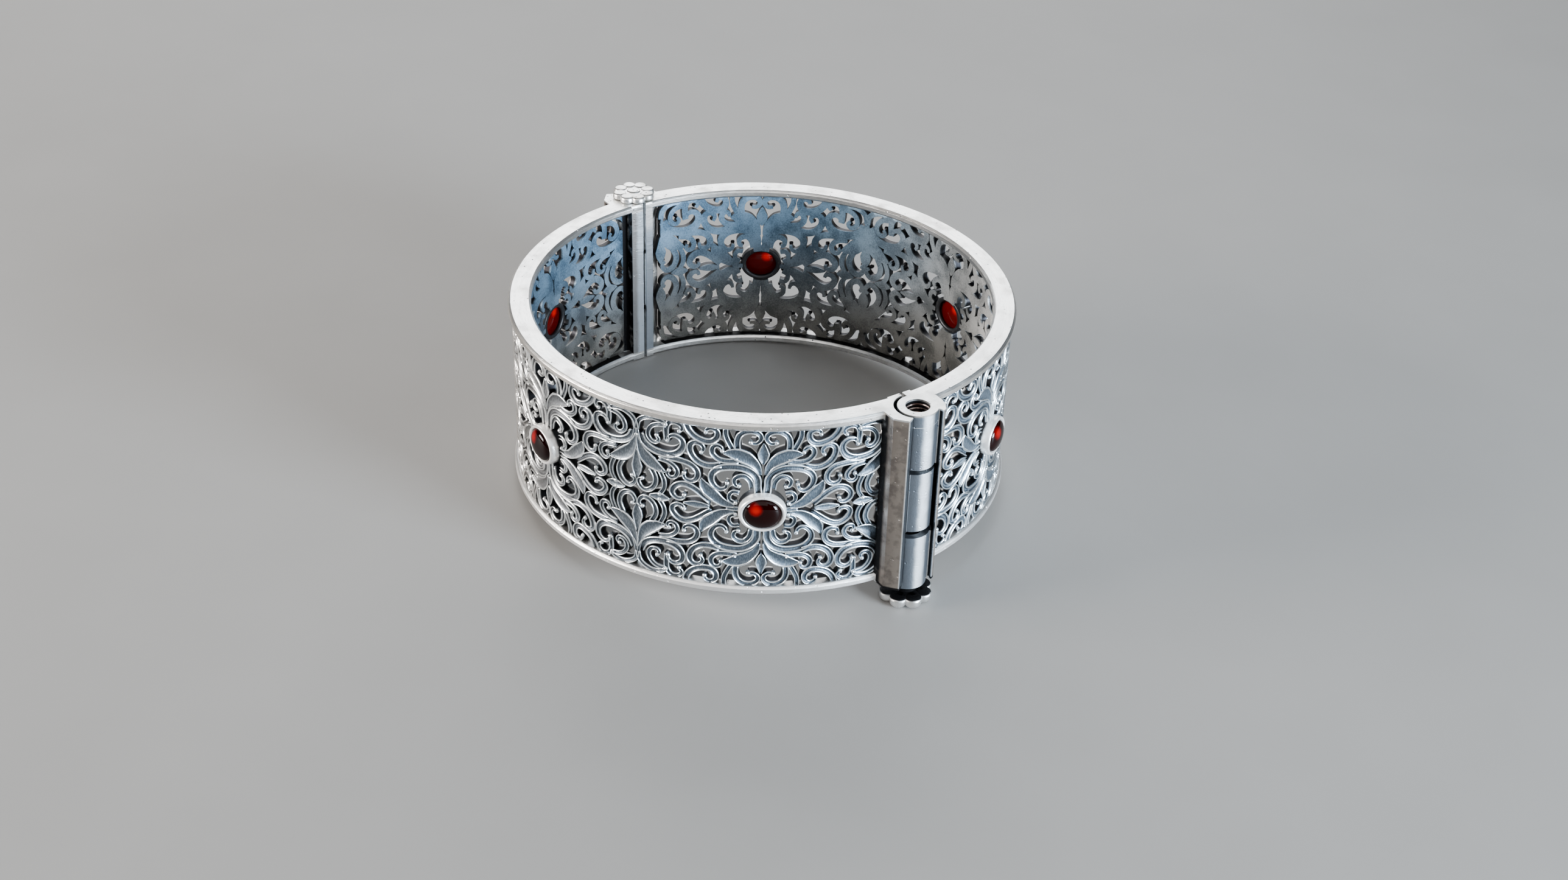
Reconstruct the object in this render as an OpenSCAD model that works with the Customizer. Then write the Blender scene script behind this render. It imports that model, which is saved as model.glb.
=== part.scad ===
// Hinged bangle of two pierced halves, with a screw hinge, a screw clasp and six oval stones.
// The ring's axis is Z and its lowest point, under the clasp's screw head, is at z = 0.
// The clasp lies at +X, the hinge at -X, the front half at -Y and the back half at +Y.

/* [Ring] */
// Inner radius of the rims, where the wrist goes in
wrist_r = 29.6; // [28:0.1:33]
// Width of a rim, from its inner to its outer face
rim_w = 2.9; // [2.7:0.1:3.2]
// Height of the ring between the outer faces of its rims
ring_h = 24.4; // [23:0.1:27]
// Thickness of a rim
rim_t = 1.1; // [0.8:0.1:1.4]
// Bevel on a rim's edges
rim_bevel = 0.3; // [0.1:0.05:0.4]

/* [Openwork] */
// How far the leaves and scrolls lie inside the rims' outer face
panel_inset = 0.4; // [0.3:0.1:0.6]
// Height of the leaves and scrolls over the ground
relief_h = 0.35; // [0.2:0.05:0.5]
// Thickness of the ground that is pierced
ground_t = 0.95; // [0.7:0.05:1.1]

/* [Stones] */
// Places of the front half's stones round the ring, in degrees from the clasp
front_stones = [-33.2, -89.3, -148];
// Places of the back half's stones round the ring, in degrees from the clasp
back_stones = [30.5, 89.5, 146.5];
// Length of a setting's oval, along the ring
setting_l = 5.8; // [5.2:0.1:6.2]
// Width of a setting's oval
setting_w = 5.0; // [4.6:0.1:5.4]
// Wall of a setting at the ends of its oval
setting_wall = 0.55; // [0.4:0.05:0.7]
// Wall of a setting above and below its stone
setting_side_wall = 0.4; // [0.35:0.05:0.5]
// How far a setting stands over the leaves and scrolls
setting_proud = 1; // [0.8:0.05:1.3]
// Depth of a stone's seat under its setting's edge
seat_depth = 1.8; // [1.5:0.1:1.9]
// How far a stone's dome rises over its setting
dome_proud = 0.6; // [0.4:0.05:0.8]

/* [Hinge and clasp] */
// Radius from the ring's axis to the clasp's screw
clasp_r = 33; // [32.6:0.1:33.4]
// Radius from the ring's axis to the hinge's screw
hinge_r = 32.5; // [32.4:0.1:33]
// Outer radius of the clasp's knuckles
clasp_knuckle_r = 2.45; // [2.2:0.05:2.5]
// Outer radius of the hinge's knuckles, which leave the bars' inner faces whole
hinge_knuckle_r = 2.1; // [2:0.05:2.1]
// Radius of the hole in a knuckle
bore_r = 1.5; // [1.2:0.05:1.6]
// Air between a clasp's knuckle and the concave end of the other half
clasp_air = 0.45; // [0.3:0.05:0.5]
// Air between a hinge's knuckle and the concave end of the other half
hinge_air = 0.3; // [0.25:0.05:0.3]
// Air between the ends of the two halves' rims
seam = 0.45; // [0.3:0.05:0.6]
// How far the clasp's bottom knuckle reaches below the ring's lower face
clasp_drop = 0.55; // [0:0.05:0.8]
// Height of the bottom knuckle over the ring's lower face
low_knuckle = 7; // [6.5:0.1:7.6]
// Height at which the middle knuckle starts
mid_knuckle = 8; // [7.8:0.1:8.8]
// Height of the middle knuckle
mid_knuckle_h = 8.2; // [7:0.1:8.4]
// Height at which the top knuckle starts
top_knuckle = 16.8; // [16.7:0.1:17.5]

/* [Screws] */
// Radius of a screw's shank
shank_r = 1.45; // [1.15:0.05:1.55]
// Radius of the clasp screw's flower head, over its petals
clasp_flower_r = 3.55; // [3:0.05:3.6]
// Radius of the hinge screw's flower head, over its petals
hinge_flower_r = 3.05; // [2.8:0.05:3.3]
// Number of petals
petals = 8; // [6:1:10]
// Turn of both flowers, in degrees
flower_turn = 10; // [0:5:45]
// Thickness of the clasp screw's head
clasp_head_t = 1.45; // [1:0.05:1.6]
// Bare neck between the clasp screw's head and the bottom knuckle
clasp_neck = 1.2; // [0.8:0.1:1.6]
// Thickness of the hinge screw's head
hinge_head_t = 0.9; // [0.7:0.05:1.2]

/* [Hidden] */
$fn = 96;

rim_r = wrist_r + rim_w;
base_z = clasp_head_t + clasp_neck + clasp_drop;
top_z = base_z + ring_h;
mid_z = base_z + ring_h / 2;
panel_r = rim_r - panel_inset;
ground_r = panel_r - relief_h;
back_r = ground_r - ground_t;
fit = 0.05;
over = 2;
far = 60;
stones = concat(front_stones, back_stones);
front = -1;
back = 1;

// The end bars' plans, as [distance from the ring's axis, distance from the seam's plane].
// Places under the panel are measured from the wrist, and places round the screw from the screw.
front_bar_side = 4.2;
front_bar_foot = 2.9;
back_bar_side = 3.3;
back_bar_foot = 2.1;
function front_bar(c) = [
    [wrist_r, seam / 2], [wrist_r, 2], [back_r - fit, 2], [back_r + 2 * fit, front_bar_foot],
    [ground_r + fit, front_bar_foot], [ground_r + fit, front_bar_side], [c + 0.9, front_bar_side],
    [c + 1.4, 3.8], [c + 1.95, 3.35], [c + 2.4, 2.95], [c + 1.9, 2.05], [c + 0.5, seam / 2]];
function back_bar(c) = [
    [wrist_r, seam / 2], [wrist_r, 1.3], [back_r - fit, 1.3], [back_r + 2 * fit, back_bar_foot],
    [ground_r + fit, back_bar_foot], [ground_r + fit, back_bar_side], [c + 0.5, 3.25],
    [c + 1.5, 2.95], [c + 2.3, 2.4], [c + 2.5, 1.95], [c + 2, 1.9], [c + 0.5, seam / 2]];

// One quarter of the ornament round a stone, charted in millimetres from the stone's centre:
// first along the ring, then up. The other three quarters are its mirror images.
quarter_deg = 27.5;
quarter_l = 15.25;
leaves = [
    [[0.3, 4.9], [1.2, 8.9], [4.7, 9.3], [4.6, 7.7], [2.6, 6.1]],
    [[15.1, 8.8], [14.6, 5.4], [12.6, 5.6], [11.5, 3.9], [15.4, 2.6]],
    [[3.9, 0.5], [4.9, 2], [6.2, 3.2], [7.1, 3.8], [7.7, 0.9]]];
scrolls = [
    [[0.7, 4.4], [2.4, 5.8], [4.6, 5.6], [5.9, 4.5], [5.7, 3.1], [4.6, 2.7]],
    [[14.7, 8.2], [13.3, 6.7], [11.2, 6.3], [9.6, 7.3], [9.5, 8.6], [10.8, 9.1]],
    [[5.2, 5.9], [7.2, 5.9], [8.4, 7.1], [8.4, 8.3], [7.4, 8.7], [6.8, 7.9]],
    [[6.6, 1], [8.1, 2.3], [9.6, 2.5], [10.6, 1.5], [10.1, 0.6]],
    [[8.9, 11], [8.4, 10], [6.9, 9.1], [5.5, 9.5], [5.3, 10.5]],
    [[3, 8.8], [2.9, 9.7], [2, 10.8], [0.8, 10.8], [0.3, 9.9]]];
scroll_w = 0.75;
gaps = [
    [[3.7, 5], [3.6, 4.1], [4.3, 3.4], [5.2, 3.5], [5.3, 4.4], [4.6, 5]],
    [[10.2, 8.5], [10, 7.6], [10.8, 7], [12.4, 6.9], [12.9, 7.3], [12, 8], [11.7, 9], [11.2, 8.6]],
    [[5.3, 6.4], [6.7, 6.2], [7.7, 6.9], [7.9, 7.9], [7.2, 8], [6.4, 7.6], [6.2, 7.1]],
    [[7.1, 1], [8, 0.6], [9.9, 1], [9.8, 1.7], [9, 2], [8, 1.8]],
    [[7, 9.7], [7.8, 10], [8.3, 10.8], [7, 10.8], [6.5, 10]]];

// Middle of a list of [along, up] points, along the ring
function middle(points) = (min([for (p = points) p[0]]) + max([for (p = points) p[0]])) / 2;

// Outline of a leaf: two curves from its base to its tip, each bent by its own control point
function bend(a, c, b, n) = [for (i = [0:n]) let (t = i / n)
    (1 - t) * (1 - t) * a + 2 * t * (1 - t) * c + t * t * b];
function leaf(l) = concat(bend(l[0], (l[1] + l[2]) / 2, l[3], 4),
                          [for (i = [1:3]) bend(l[3], l[4], l[0], 4)[i]]);

// Outline of a scroll's band, half its width to each side of its middle line and narrower at its end
function along(p, i) = let (d = p[min(i + 1, len(p) - 1)] - p[max(i - 1, 0)]) d / norm(d);
function side(p, i, w) = let (d = along(p, i), taper = 1 - 0.4 * i / len(p))
    p[i] + w * taper / 2 * [-d[1], d[0]];
function band(p) = concat([for (i = [0:len(p) - 1]) side(p, i, scroll_w)],
                          [for (i = [len(p) - 1:-1:0]) side(p, i, -scroll_w)]);

// Half of the distance between a stone and its neighbour, or a whole quarter at a half's end
function half_step(list, i, way) = let (j = i + (list[0] < 0 ? -way : way))
    j < 0 || j >= len(list) ? quarter_deg : abs(list[j] - list[i]) / 2;

// Prism of an outline of the chart, set out radially on the wall in each quarter round each stone
module on_wall(list, points) {
    m = middle(points);
    for (i = [0:len(list) - 1], way = [-1, 1], up = [-1, 1]) {
        step = half_step(list, i, way);
        stretch = step / quarter_deg;
        rotate([0, 0, list[i] + way * step * m / quarter_l])
            translate([wrist_r - over, 0, mid_z])
                rotate([90, 0, 90])
                    linear_extrude(rim_w + 2 * over)
                        polygon([for (p = points) [way * stretch * (p[0] - m), up * p[1]]]);
    }
}

// Oval of four arcs with its long side along X, rounder at its sides than a plain ellipse
oval_fullness = 0.08;
module oval(l, w) {
    end_r = w / 2 - oval_fullness * l;
    off = l / 2 - end_r;
    big_r = (off * off + w * w / 4 - end_r * end_r) / (w - 2 * end_r);
    low = big_r - w / 2;
    touch = off * big_r / (big_r - end_r);
    for (s = [-1, 1]) translate([s * off, 0]) circle(end_r);
    intersection() {
        translate([0, -low]) circle(big_r);
        translate([0, low]) circle(big_r);
        square([2 * touch, w], center = true);
    }
}

// Sets its children out on the wall at a stone's place: X runs along the ring and Z points outwards
module at_stone(deg, r) {
    rotate([0, 0, deg]) translate([r, 0, mid_z]) rotate([90, 0, 90]) children();
}

// Half space on one side of the seam's plane, from a distance to it
module half_space(which, from) {
    translate([-far, which > 0 ? from : -far - from, -far]) cube([2 * far, far, 3 * far]);
}

module rim(z) {
    b = rim_bevel;
    translate([0, 0, z])
        rotate_extrude($fn = 180)
            polygon([[wrist_r + b, 0], [rim_r - b, 0], [rim_r, b], [rim_r, rim_t - b], [rim_r - b, rim_t],
                     [wrist_r + b, rim_t], [wrist_r, rim_t - b], [wrist_r, b]]);
}

// Cylinder round a screw's axis, from one height of the ring to another
module round_screw(x, r, from, to) {
    translate([x, 0, base_z + from]) cylinder(h = to - from, r = r);
}

// One half's frame: which side it is on, its bars' plans, its own knuckles and the room for the others,
// each as [from, to] in height over the ring's lower face
module frame(which, clasp_bar, hinge_bar, own, room) {
    ends = [[1, clasp_r, clasp_bar, clasp_knuckle_r, clasp_air, clasp_drop],
            [-1, hinge_r, hinge_bar, hinge_knuckle_r, hinge_air, 0]];
    difference() {
        union() {
            difference() {
                union() {
                    intersection() {
                        union() {
                            rim(base_z);
                            rim(top_z - rim_t);
                        }
                        half_space(which, seam / 2);
                    }
                    for (e = ends)
                        translate([0, 0, base_z])
                            linear_extrude(ring_h)
                                polygon([for (p = e[2]) [e[0] * p[0], which * p[1]]]);
                }
                for (e = ends, z = room) round_screw(e[0] * e[1], e[3] + e[4], z[0], z[1]);
            }
            for (e = ends, z = own) round_screw(e[0] * e[1], e[3], z[0] > 0 ? z[0] : -e[5], z[1]);
        }
        for (e = ends) round_screw(e[0] * e[1], bore_r, -over, ring_h + over);
    }
}

mid_knuckle_top = mid_knuckle + mid_knuckle_h;

module front_frame() {
    color("silver")
        frame(front, front_bar(clasp_r), front_bar(hinge_r),
              [[mid_knuckle, mid_knuckle_top]], [[-over, mid_knuckle], [mid_knuckle_top, ring_h + over]]);
}

module back_frame() {
    color("silver")
        frame(back, back_bar(clasp_r), back_bar(hinge_r),
              [[0, low_knuckle], [top_knuckle, ring_h]], [[low_knuckle, top_knuckle]]);
}

// One half's panel: a curved ground with raised leaves and scrolls, pierced through between them
module openwork(which, list, foot, bar_side) {
    low = base_z + rim_t + fit;
    h = ring_h - 2 * rim_t - 2 * fit;
    difference() {
        intersection() {
            translate([0, 0, low]) difference() {
                cylinder(h = h, r = panel_r, $fn = 180);
                translate([0, 0, -over]) cylinder(h = h + 2 * over, r = back_r, $fn = 180);
            }
            half_space(which, foot + fit);
            union() {
                translate([0, 0, low - over]) cylinder(h = h + 2 * over, r = ground_r, $fn = 180);
                intersection() {
                    half_space(which, bar_side + fit);
                    union() {
                        for (l = leaves) on_wall(list, leaf(l));
                        for (s = scrolls) on_wall(list, band(s));
                    }
                }
            }
        }
        for (g = gaps) on_wall(list, g);
        round_screw(clasp_r, clasp_knuckle_r + clasp_air, -over, ring_h + over);
        round_screw(-hinge_r, hinge_knuckle_r + hinge_air, -over, ring_h + over);
        for (deg = list)
            at_stone(deg, wrist_r - over)
                linear_extrude(rim_w + 2 * over) oval(setting_l + 2 * fit, setting_w + 2 * fit);
    }
}

module front_openwork() {
    color("lightsteelblue") openwork(front, front_stones, front_bar_foot, front_bar_side);
}

module back_openwork() {
    color("lightsteelblue") openwork(back, back_stones, back_bar_foot, back_bar_side);
}

// Heights in a setting, from the panel's back face outwards
setting_h = panel_r - back_r + setting_proud;
ledge_h = setting_h - seat_depth;
ledge_w = 0.15;
stone_l = setting_l - 2 * setting_wall - 2 * fit;
stone_w = setting_w - 2 * setting_side_wall - 2 * fit;
stone_h = seat_depth - fit + dome_proud;
girdle_h = 1.5;

module setting(i) {
    color("gainsboro")
        at_stone(stones[i], back_r) difference() {
            linear_extrude(setting_h) oval(setting_l, setting_w);
            translate([0, 0, ledge_h])
                linear_extrude(setting_h) oval(stone_l + 2 * fit, stone_w + 2 * fit);
            translate([0, 0, -over])
                linear_extrude(setting_h + over) oval(stone_l - 2 * ledge_w, stone_w - 2 * ledge_w);
        }
}

// Stone with an upright edge up to its girdle and a dome over it
module stone(i) {
    dome_h = stone_h - girdle_h;
    dome_r = (stone_l * stone_l / 4 + dome_h * dome_h) / (2 * dome_h);
    color("darkred")
        at_stone(stones[i], back_r + ledge_h + fit) intersection() {
            linear_extrude(stone_h) oval(stone_l, stone_w);
            translate([0, 0, stone_h - dome_r]) sphere(dome_r);
        }
}

// Heights in a flower head as shares of its thickness, its heart's width as a share of its own,
// how far petals and heart narrow to their tops, and how much wider petals are than their spacing
web_share = 0.8;
petal_share = 0.95;
petal_narrow = 0.8;
root_share = 0.5;
heart_share = 0.45;
heart_narrow = 0.6;
petal_lap = 1.4;
// Where the screws' shanks end: under the bottom knuckle's top, and over the ring's lower face
clasp_shank_end = low_knuckle - 0.2;
hinge_shank_end = 1;

// Flower head of a thickness and a radius: round petals about a low flat-topped heart, standing on
// z = 0 and opening upwards
module flower(t, r) {
    spread = petal_lap * sin(180 / petals);
    petal_r = r * spread / (1 + spread);
    heart_r = r * heart_share;
    cylinder(h = t * web_share, r = r - petal_r);
    for (i = [0:petals - 1])
        rotate([0, 0, (i + 0.5) * 360 / petals + flower_turn])
            translate([r - petal_r, 0, 0])
                cylinder(h = t * petal_share, r1 = petal_r, r2 = petal_r * petal_narrow);
    cylinder(h = t, r1 = heart_r, r2 = heart_r * heart_narrow);
}

module clasp_screw() {
    root = clasp_head_t * root_share;
    color("silver") {
        translate([clasp_r, 0, clasp_head_t]) mirror([0, 0, 1]) flower(clasp_head_t, clasp_flower_r);
        translate([clasp_r, 0, root]) cylinder(h = base_z + clasp_shank_end - root, r = shank_r);
    }
}

module hinge_screw() {
    color("silver") {
        translate([-hinge_r, 0, top_z + fit]) flower(hinge_head_t, hinge_flower_r);
        round_screw(-hinge_r, shank_r, hinge_shank_end, ring_h + hinge_head_t * root_share);
    }
}

front_frame();
front_openwork();
back_frame();
back_openwork();
setting(0);  // setting_1
setting(1);  // setting_2
setting(2);  // setting_3
setting(3);  // setting_4
setting(4);  // setting_5
setting(5);  // setting_6
stone(0);  // stone_1
stone(1);  // stone_2
stone(2);  // stone_3
stone(3);  // stone_4
stone(4);  // stone_5
stone(5);  // stone_6
clasp_screw();
hinge_screw();
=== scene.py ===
from collections import namedtuple
from math import atan2, cos, pi, radians, sin

import bmesh
import bpy
from mathutils import Matrix, Vector
from mathutils.geometry import interpolate_bezier


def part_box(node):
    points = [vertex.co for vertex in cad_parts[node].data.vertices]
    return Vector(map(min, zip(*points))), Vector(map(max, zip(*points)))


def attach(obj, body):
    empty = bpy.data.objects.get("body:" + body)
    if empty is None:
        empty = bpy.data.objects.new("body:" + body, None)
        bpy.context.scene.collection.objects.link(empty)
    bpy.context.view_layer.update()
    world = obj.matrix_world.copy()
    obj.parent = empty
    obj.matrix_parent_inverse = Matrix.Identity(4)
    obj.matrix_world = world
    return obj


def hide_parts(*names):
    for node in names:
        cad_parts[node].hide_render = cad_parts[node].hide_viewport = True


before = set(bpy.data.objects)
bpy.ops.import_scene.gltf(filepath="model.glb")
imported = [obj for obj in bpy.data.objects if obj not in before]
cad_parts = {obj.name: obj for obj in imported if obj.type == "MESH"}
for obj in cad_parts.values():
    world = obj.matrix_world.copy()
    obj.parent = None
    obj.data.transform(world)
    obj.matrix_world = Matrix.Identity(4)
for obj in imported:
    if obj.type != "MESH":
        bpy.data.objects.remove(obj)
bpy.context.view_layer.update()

# The frames of the two halves: a top and a bottom rim of heavy silver strip, the upright bars that close
# the ends and the barrel knuckles beside them, soldered into one. Their edges are filed round, and wear
# has rubbed them bright, with fine scratches and a few casting pits on the flat faces.
MM = 0.001
FILED_EDGE = 0.1 * MM
# A pattern that is laid flat keeps its scale at this radius
PATTERN_R = 32.0


class Wire:
    """A value in a finish. Sums and products of wires add their own Math nodes."""

    def __init__(self, finish, socket):
        self.finish = finish
        self.socket = socket

    def maths(self, operation, first, second):
        """What a Math node makes of two values."""
        return self.finish.node("ShaderNodeMath", {"operation": operation}, {0: first, 1: second})

    def __add__(self, other):
        return self.maths("ADD", self, other)

    def __radd__(self, other):
        return self.maths("ADD", other, self)

    def __sub__(self, other):
        return self.maths("SUBTRACT", self, other)

    def __rsub__(self, other):
        return self.maths("SUBTRACT", other, self)

    def __mul__(self, other):
        return self.maths("MULTIPLY", self, other)

    def __rmul__(self, other):
        return self.maths("MULTIPLY", other, self)

    def __pow__(self, other):
        return self.maths("POWER", self, other)

    def part(self, axis):
        """One of the three coordinates of a place, by its letter."""
        return self.finish.node("ShaderNodeSeparateXYZ", {}, {"Vector": self}, axis)

    def band(self, low, high):
        """0 below one level, 1 above the other, and a smooth step between them."""
        return self.finish.node("ShaderNodeMapRange", {"interpolation_type": "SMOOTHSTEP"},
                                {"Value": self, "From Min": low, "From Max": high})


def from_axis(x, y):
    """How far a place lies from an axis, from its distance to it in each of two directions."""
    return (x * x + y * y) ** 0.5


class Finish:
    """A procedural finish, built up node by node on a principled skin."""

    # The numbers of a Mix node's sockets for colours: the share, the two colours, and the result
    MIX_SHARE, MIX_LOW, MIX_HIGH, MIX_RESULT = 0, 6, 7, 2

    def __init__(self, name, **constants):
        self.material = bpy.data.materials.new(name)
        self.material.use_nodes = True
        self.tree = self.material.node_tree
        self.skin = self.tree.nodes["Principled BSDF"]
        for socket, value in constants.items():
            self.skin.inputs[socket.replace("_", " ")].default_value = value
        in_metres = self.node("ShaderNodeTexCoord", {}, {}, "Object")
        self.place = self.node("ShaderNodeMapping", {}, {
            "Vector": in_metres, "Scale": (1 / MM, 1 / MM, 1 / MM)})

    def node(self, kind, settings, sockets, output=0):
        """Adds a node with its settings and the values or wires of its sockets, and gives one output."""
        made = self.tree.nodes.new(kind)
        for name, value in settings.items():
            setattr(made, name, value)
        for name, value in sockets.items():
            if isinstance(value, Wire):
                self.tree.links.new(value.socket, made.inputs[name])
            else:
                made.inputs[name].default_value = value
        return Wire(self, made.outputs[output])

    def noise(self, scale, detail, place=None):
        """Cloudy variation, with its features' number per millimetre."""
        return self.node("ShaderNodeTexNoise", {}, {
            "Vector": place or self.place, "Scale": scale, "Detail": detail})

    def stretched(self, scale):
        """The place with each axis drawn out or pressed together, for brushed and scratched patterns."""
        return self.node("ShaderNodeMapping", {}, {"Vector": self.place, "Scale": scale})

    def round_ring(self, along, up):
        """The place laid flat: along the ring and up, each by its own scale, and out from the axis."""
        x, y, z = (self.place.part(axis) for axis in "XYZ")
        turn = self.node("ShaderNodeMath", {"operation": "ARCTAN2"}, {0: y, 1: x})
        return self.node("ShaderNodeCombineXYZ", {}, {
            "X": turn * (PATTERN_R * along), "Y": z * up, "Z": from_axis(x, y)})

    def mix(self, share, low, high):
        """A colour between two colours."""
        first, second = (colour if isinstance(colour, Wire) else (*colour, 1) for colour in (low, high))
        return self.node("ShaderNodeMix", {"data_type": "RGBA"}, {
            self.MIX_SHARE: share, self.MIX_LOW: first, self.MIX_HIGH: second}, self.MIX_RESULT)

    def bump(self, height, depth):
        """Fine relief, with its real depth in millimetres."""
        self.wire("Normal", self.node("ShaderNodeBump", {}, {
            "Strength": 1.0, "Distance": depth * MM, "Height": height}))

    def wire(self, socket, value):
        """Leads a value into a socket of the skin."""
        self.tree.links.new(value.socket, self.skin.inputs[socket])

    def film(self, share, tone, rougher=0.0):
        """Lays a thin coat of another tone over what is there, by a share from 0 to 1."""
        colour, gloss = (Wire(self, self.skin.inputs[name].links[0].from_socket)
                         for name in ("Base Color", "Roughness"))
        self.wire("Base Color", self.mix(share, colour, tone))
        self.wire("Roughness", gloss + share * rougher)


RUBBED_SILVER = (0.90, 0.895, 0.88)
TARNISHED_SILVER = (0.50, 0.485, 0.46)
HAIRLINE_TONE = (0.34, 0.34, 0.34)
PIT_TONE = (0.03, 0.027, 0.025)


def worn_silver(name, tarnish=1.0):
    """Silver rubbed bright on its high places, clouded by tarnish, scratched and a little pitted."""
    made = Finish(name, Metallic=1.0)
    clouds = made.noise(0.35, 4.0)
    smears = made.noise(1.0, 3.0, made.stretched((0.5, 0.5, 1.4)))
    grain = made.noise(6.0, 3.0)
    hairlines = made.noise(9.0, 1.0, made.round_ring(0.12, 1.0))
    cross_lines = made.noise(9.0, 1.0, made.round_ring(1.0, 0.12))
    pits = made.node("ShaderNodeTexVoronoi", {}, {"Vector": made.place, "Scale": 1.3})
    pitted = (1 - pits.band(0.07, 0.17)) * made.noise(0.5, 1.0).band(0.44, 0.54)
    dull = (clouds * 0.7 + smears * 0.3).band(0.44, 0.74) * tarnish
    metal = made.mix(dull, RUBBED_SILVER, TARNISHED_SILVER)
    metal = made.mix(hairlines.band(0.60, 0.70) * 0.35, metal, HAIRLINE_TONE)
    made.wire("Base Color", made.mix(pitted, metal, PIT_TONE))
    made.wire("Roughness", 0.25 + dull * 0.1 + grain * 0.1 + pitted * 0.3)
    made.bump(grain * 0.25 + hairlines * 0.45 + cross_lines * 0.3 + clouds * 0.7 - pitted * 1.2, 0.035)
    return made


def dress(piece, finish):
    """Gives a piece one finish."""
    piece.data.materials.append(finish.material)


def cast_piece(name, mesh):
    """Makes a finished mesh, in metres, an object with smooth faces."""
    data = bpy.data.meshes.new(name)
    mesh.to_mesh(data)
    mesh.free()
    data.shade_smooth()
    piece = bpy.data.objects.new(name, data)
    bpy.context.scene.collection.objects.link(piece)
    return piece


def filed(node, name):
    """A solid's own shape with every sharp edge filed round."""
    mesh = bmesh.new()
    mesh.from_mesh(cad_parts[node].data)
    bmesh.ops.remove_doubles(mesh, verts=mesh.verts, dist=0.002 * MM)
    bmesh.ops.dissolve_limit(mesh, angle_limit=radians(0.4), verts=mesh.verts, edges=mesh.edges)
    piece = cast_piece(name, mesh)
    edge = piece.modifiers.new("filed edge", "BEVEL")
    edge.width = FILED_EDGE
    edge.segments = 2
    edge.limit_method = "ANGLE"
    edge.angle_limit = radians(28)
    piece.modifiers.new("flat faces kept flat", "WEIGHTED_NORMAL")
    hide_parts(node)
    return piece


RING_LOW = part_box("front_frame")[0].z / MM
RING_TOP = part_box("front_frame")[1].z / MM
OUTER_R = 32.5
INNER_R = 29.6
CLASP = 33.0
HINGE = -32.5
SCREW_HOLE_R = 1.5
# A line of solder runs round each knuckle this far below the top
SOLDER_DEPTH = 1.65

# Each joint of the ring: its screw's place along X, the way that leads out of the ring there, and the
# radii of its knuckles and of the hollow that the bars leave round them
Joint = namedtuple("Joint", "screw outwards knuckle_r hollow_r")
JOINTS = (Joint(CLASP, 1, 2.45, 2.9), Joint(HINGE, -1, 2.1, 2.4))

# Each half's bars beside the seam: the inner face's width, where the outer corner and the outer side lie,
# how far beyond the screw the crest is rubbed, and the inner face's painted tones of light near the seam and
# of shade away from it
Bar = namedtuple("Bar", "inner_side corner outer_side crest near_tone far_tone")
BARS = {"front": Bar(2.0, 2.88, 4.2, 2.34, (0.62, 0.70, 0.78), (0.27, 0.265, 0.265)),
        "back": Bar(1.3, 1.97, 3.3, 2.42, (0.36, 0.41, 0.47), (0.36, 0.41, 0.47))}

# Near black: painted shade in corners, gaps and holes and under the screw heads, with some real soot
SHADE_AND_SOOT = (0.012, 0.012, 0.013)
TOP_RIM_TONE = (0.62, 0.55, 0.48)
DIRT_TONE = (0.04, 0.035, 0.03)
# Painted light on the bottom rim's outer face
LOW_RIM_LIGHT = (0.97, 0.96, 0.95)
TOP_FACE_TONE = (0.50, 0.525, 0.53)
# Painted reflection of a brown table on the bars' outer faces
BAR_REFLECTED_BROWN = (0.31, 0.265, 0.225)
# Stains, and painted shade toward the panel side of the bars
STAIN_AND_SHADE_TONE = (0.13, 0.105, 0.09)
# Painted shade in the groove between a bar and its knuckles
LIP_SHADE = (0.035, 0.042, 0.05)
# Painted dark bluish shade and a painted highlight streak for the knuckles
KNUCKLE_SHADE = (0.12, 0.15, 0.19)
KNUCKLE_HIGHLIGHT = (0.80, 0.86, 0.92)
SOLDER_TONE = (0.85, 0.9, 0.95)


class FramePlace:
    """Where a spot of a frame lies: distances in millimetres, and shares from 0 to 1 of its regions."""

    def __init__(self, made):
        self.x, self.y, self.z = (made.place.part(axis) for axis in "XYZ")
        self.radius = from_axis(self.x, self.y)
        # How far beside the seam, and the same with an uneven border for what wear, dirt and painted light
        # and shade leave
        self.beside = (self.y * self.y) ** 0.5
        self.across = self.beside + (made.noise(0.6, 3.0) - 0.5) * 0.4
        self.sides = self.between(0.1, 0.3)
        self.between_rims = self.between(1.0, 1.2)
        self.bars = 1 - (1 - self.between_rims) * (1 - self.radius.band(OUTER_R + 0.05, OUTER_R + 0.15))

    def between(self, start, full):
        """1 at the heights between the ring's underside and its top, and 0 within a start of either."""
        return self.z.band(RING_LOW + start, RING_LOW + full) - self.z.band(RING_TOP - full, RING_TOP - start)


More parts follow.
